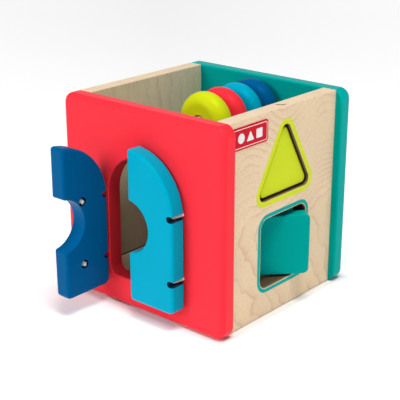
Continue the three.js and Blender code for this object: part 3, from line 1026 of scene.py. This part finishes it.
def disc(node, slot, material):
    """A thick disc: a full round rim, slightly dished faces and a rounded hole."""
    y_low, y_high = span(node, Y)
    half = (y_high - y_low) / 2
    centre = (0.0, (y_low + y_high) / 2, DOWEL_HEIGHT)
    flat_end = DISC_RADIUS - DISC_RIM
    rim_steps, fillet_steps = 28, 4
    rim = []
    for i in range(rim_steps + 1):
        angle = -math.pi / 2 + math.pi * i / rim_steps
        rim.append((flat_end + DISC_RIM * math.cos(angle), half * math.sin(angle)))
    dish_end, dish, hole_fillet = 8.0, 0.35, 0.9
    face = []
    for radius in (11.5, 9.5, dish_end):
        face.append((radius, half - dish * (flat_end - radius) / (flat_end - dish_end)))
    for i in range(fillet_steps + 1):
        angle = math.pi / 2 * (1 + i / fillet_steps)
        radius = DISC_HOLE_RADIUS + hole_fillet * (1 + math.cos(angle))
        face.append((radius, half - dish - hole_fillet * (1 - math.sin(angle))))
    other_face = [(radius, -along) for radius, along in face[::-1]]
    name = node.replace("_disc", "_round_disc")
    piece = show(lathe_mesh(name, rim + face + other_face, centre, (0, 1, 0)))
    smooth(piece, 60, flat_faces=False)
    finish(piece, node, [node], slot, material)


def dowel():
    y_low, y_high = span("axle_dowel", Y)
    radius = span("axle_dowel", X)[1]
    ease = 0.6
    profile = [(0.0, 0.0), (radius - ease, 0.0), (radius, ease)]
    length = y_high - y_low
    profile += [(radius, length - ease), (radius - ease, length), (0.0, length)]
    piece = show(lathe_mesh("round_dowel", profile, (0.0, y_low, DOWEL_HEIGHT), (0, 1, 0), 64))
    smooth(piece)
    finish(piece, "box", ["axle_dowel"], "dowel_wood", dowel_wood)


def triangle_block():
    """A block that stands in its hole, flat to the panel."""
    sizes = (TRIANGLE_BLOCK_HALF, TRIANGLE_BLOCK_BOTTOM, TRIANGLE_BLOCK_HEIGHT)
    outline = triangle(TRIANGLE_BLOCK_Y, *sizes, BLOCK_CORNER, BLOCK_FILLET)
    x_span = span("triangle_block", X)
    piece = show(plate_mesh("lime_triangle_block", [outline], *x_span, FACING["+X"]))
    smooth(piece)
    finish(piece, "triangle_block", ["triangle_block"], "lime_paint", lime_paint)


def square_block():
    """A block half way through its hole, turned out of the panel's plane."""
    half_size, half = SQUARE_BLOCK_SIZE / 2, SQUARE_BLOCK_HALF_THICKNESS
    z_span = span("square_block", Z)
    outline = rectangle(-half_size, half_size, *z_span, BLOCK_CORNER, BLOCK_FILLET)
    turn = Matrix.Rotation(math.radians(SQUARE_BLOCK_TURN), 4, "Z")
    place = Matrix.Translation(SQUARE_BLOCK_PLACE) @ turn @ FACING["-Y"]
    piece = show(plate_mesh("teal_square_block", [outline], -half, half, place))
    smooth(piece)
    finish(piece, "square_block", ["square_block"], "teal_paint", teal_paint)


# ---------------------------------------------------------------- the object

front_panel()
rear_panel()
side_panels()
floor_panel()
borders()
label()
doors()
dowel()
disc("lime_disc", "lime_paint", lime_paint)
disc("red_disc", "red_paint", red_paint)
disc("cyan_disc", "cyan_paint", cyan_paint)
disc("blue_disc", "blue_paint", blue_paint)
triangle_block()
square_block()

# The dowel pins are left, which no piece replaces.
for cad_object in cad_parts.values():
    if not cad_object.hide_render:
        cad_object.data.materials.clear()
        cad_object.data.materials.append(dowel_wood)


# ---------------------------------------------------------------- floor, light and camera

def studio_floor():
    """A pale floor that glows a little round the object and more further away, not under it."""
    bpy.ops.mesh.primitive_plane_add(size=14, location=(0, 0, -0.0004))
    floor = bpy.context.object
    floor.name = "studio_floor"
    constants = {"Roughness": 0.9, "Specular IOR Level": 0.1, "Emission Color": (1, 1, 1, 1)}
    s = Shader("studio_floor", **constants)
    x, y, _ = s.xyz()
    away = s.math("MAXIMUM", s.math("ABSOLUTE", x), s.math("ABSOLUTE", y))
    near = s.between(away, 74.0, 80.0, 0.0, 0.3)
    far = s.between(away, 500.0, 2000.0, 0.0, 0.4)
    s.set("Emission Strength", s.math("ADD", near, far))
    patches = s.noise(s.scaled((0.002,) * 3), detail=1.0)
    s.set("Base Color", s.ramp(patches, [(0.3, (0.90,) * 3), (0.7, (0.92,) * 3)]))
    s.material.cycles.emission_sampling = "NONE"
    floor.data.materials.append(s.material)


def area_light(name, place, size, power):
    """A round soft light that faces the middle of the object."""
    middle = Vector((0, 0, 0.07))
    data = bpy.data.lights.new(name, "AREA")
    data.shape = "DISK"
    data.size = size
    data.energy = power
    light = bpy.data.objects.new(name, data)
    bpy.context.scene.collection.objects.link(light)
    light.location = place
    light.rotation_euler = (middle - Vector(place)).to_track_quat("-Z", "Y").to_euler()


def studio_world():
    """A dim white surround for the lighting, seen as nearly white behind the floor."""
    world = bpy.data.worlds.new("studio")
    world.use_nodes = True
    nodes, links = world.node_tree.nodes, world.node_tree.links
    background = nodes["Background"]
    background.inputs["Color"].default_value = (1.0, 1.0, 1.0, 1.0)
    lighting, seen = 0.11, 0.95
    rays = nodes.new("ShaderNodeLightPath")
    strength = nodes.new("ShaderNodeMapRange")
    strength.inputs["To Min"].default_value = lighting
    strength.inputs["To Max"].default_value = seen
    links.new(rays.outputs["Is Camera Ray"], strength.inputs["Value"])
    links.new(strength.outputs["Result"], background.inputs["Strength"])
    bpy.context.scene.world = world


def studio():
    studio_floor()
    area_light("key_light", (-0.65, -2.2, 1.15), 1.3, 30)
    area_light("right_rear_light", (1.95, 0.85, 0.7), 1.8, 6)
    area_light("top_light", (0.6, -0.3, 2.05), 0.9, 33)
    area_light("backdrop_light", (-1.7, 2.0, 1.0), 1.6, 2.5)
    studio_world()
    bpy.context.scene.view_settings.view_transform = "Standard"


def camera():
    """The photograph's view: from the front right, looking down by about 20 degrees."""
    azimuth, down = 40.904, 20.008
    data = bpy.data.cameras.new("camera")
    data.sensor_width = 36.0
    data.lens = 91.88
    data.clip_start, data.clip_end = 0.05, 50.0
    made = bpy.data.objects.new("camera", data)
    bpy.context.scene.collection.objects.link(made)
    made.location = (0.46474, -0.54543, 0.32628)
    made.rotation_euler = (math.radians(90 - down), 0, math.radians(azimuth))
    bpy.context.scene.camera = made


studio()
camera()
